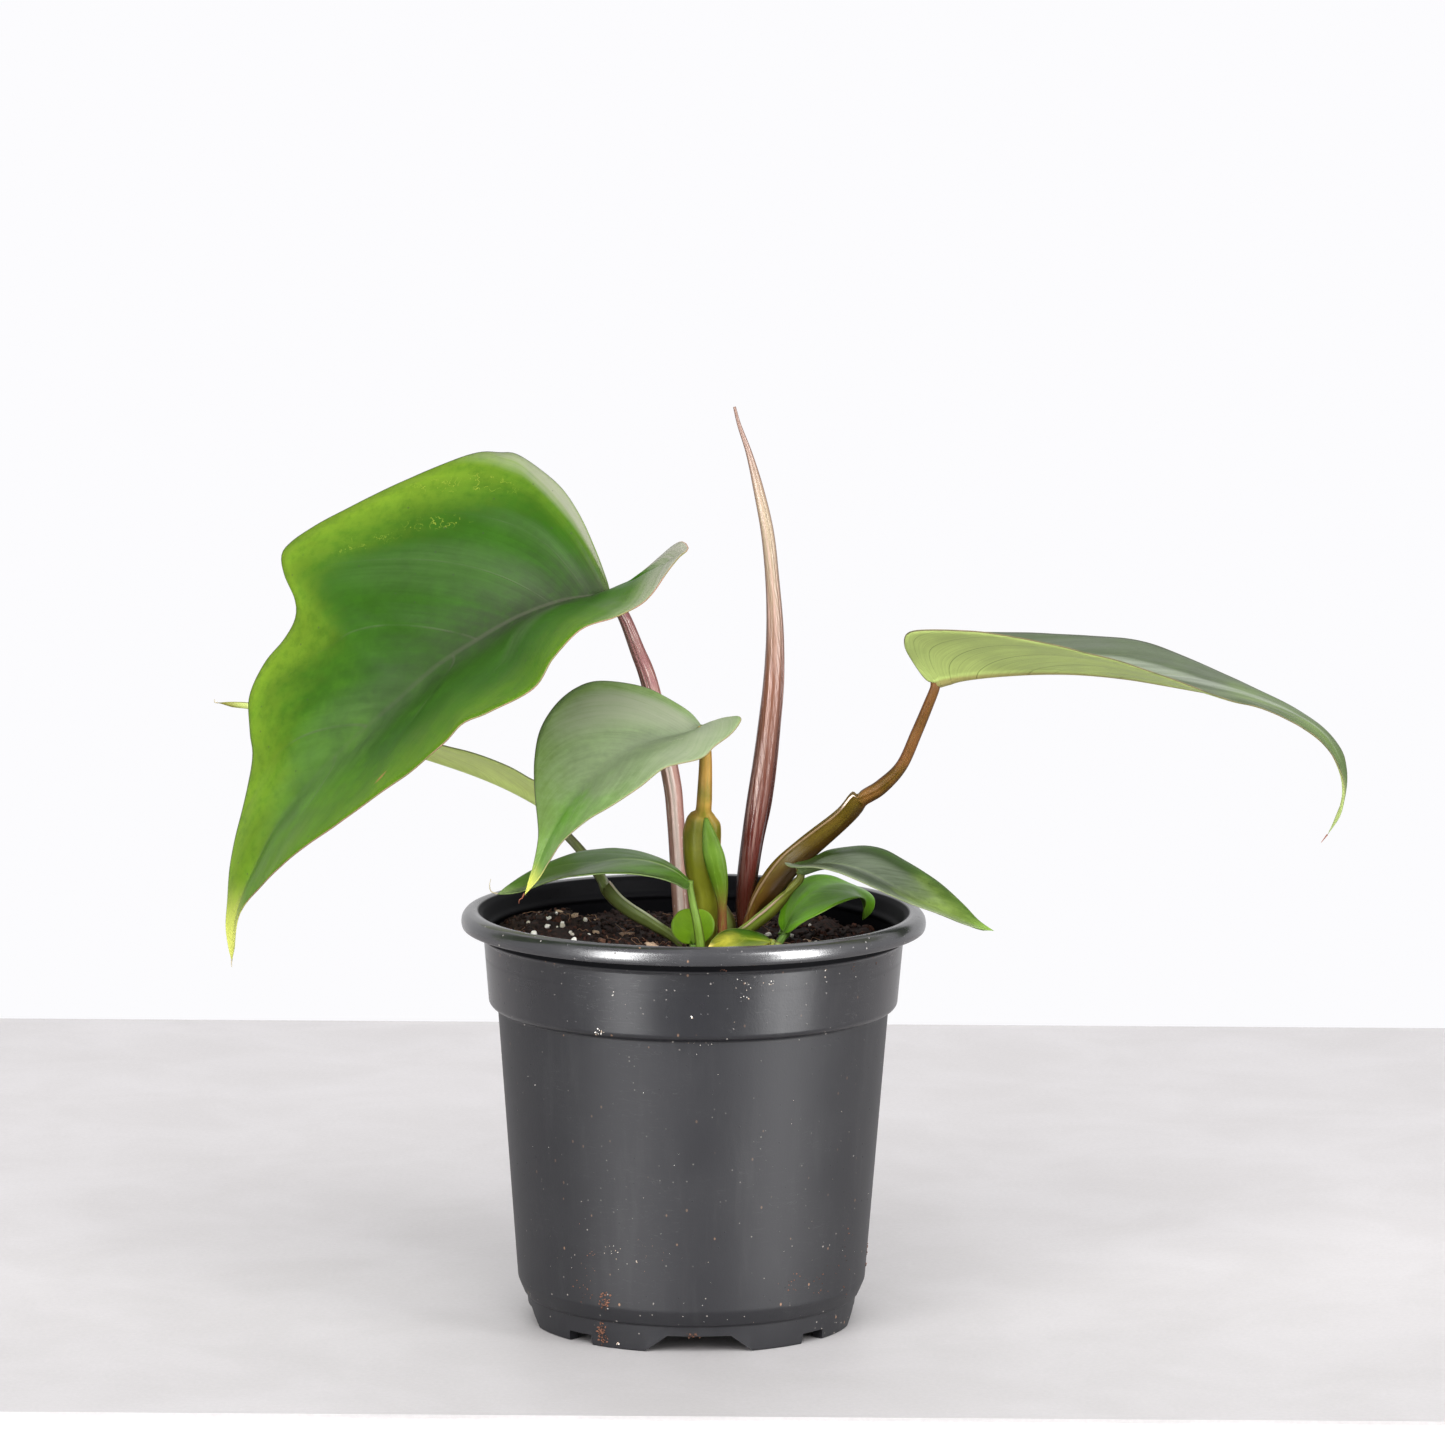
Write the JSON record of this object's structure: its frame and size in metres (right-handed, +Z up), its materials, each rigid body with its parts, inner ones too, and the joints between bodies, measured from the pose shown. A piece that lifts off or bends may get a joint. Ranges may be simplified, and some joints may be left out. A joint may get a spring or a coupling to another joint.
{
  "type": "potted philodendron",
  "caption": "Young potted philodendron with arrow-shaped leaves on arching stalks and a rolled new leaf, in a round nursery pot full of soil.",
  "frame": {"origin": "under the middle of the whole plant's box, on the surface that the pot stands on", "axes": "+Z up, +X along the plant's longest way, towards the tip of the long leaf on the right, +Y away from the side that is seen in the picture"},
  "size_m": [0.282, 0.115, 0.2271],
  "materials": {
    "pot_plastic": "satin",
    "soil": "rough crumbs",
    "leaf_green": "satin",
    "leaf_grey_green": "satin",
    "leaf_light_green": "satin",
    "leaf_bright_green": "satin",
    "leaf_yellow": "satin",
    "stalk_brown": "satin",
    "stalk_olive": "satin",
    "stalk_green": "satin",
    "rolled_leaf": "gloss"
  },
  "bodies": {
    "root": {"pot": "pot_plastic", "soil": "soil", "crown": "stalk_green", "rolled_leaf": "rolled_leaf", "cataphyll": "leaf_bright_green", "large_leaf_blade": "leaf_green", "large_leaf_petiole": "stalk_brown", "front_leaf_blade": "leaf_grey_green", "front_leaf_petiole": "stalk_olive", "right_leaf_blade": "leaf_light_green", "right_leaf_petiole": "stalk_olive", "rear_leaf_blade": "leaf_light_green", "rear_leaf_petiole": "stalk_green", "left_low_leaf_blade": "leaf_green", "left_low_leaf_petiole": "stalk_green", "right_low_leaf_blade": "leaf_green", "right_low_leaf_petiole": "stalk_green", "bright_leaf_blade": "leaf_bright_green", "bright_leaf_petiole": "stalk_green", "round_leaf_blade": "leaf_bright_green", "round_leaf_petiole": "stalk_green", "yellow_leaf_blade": "leaf_yellow", "yellow_leaf_petiole": "stalk_green"}
  },
  "joints": []
}
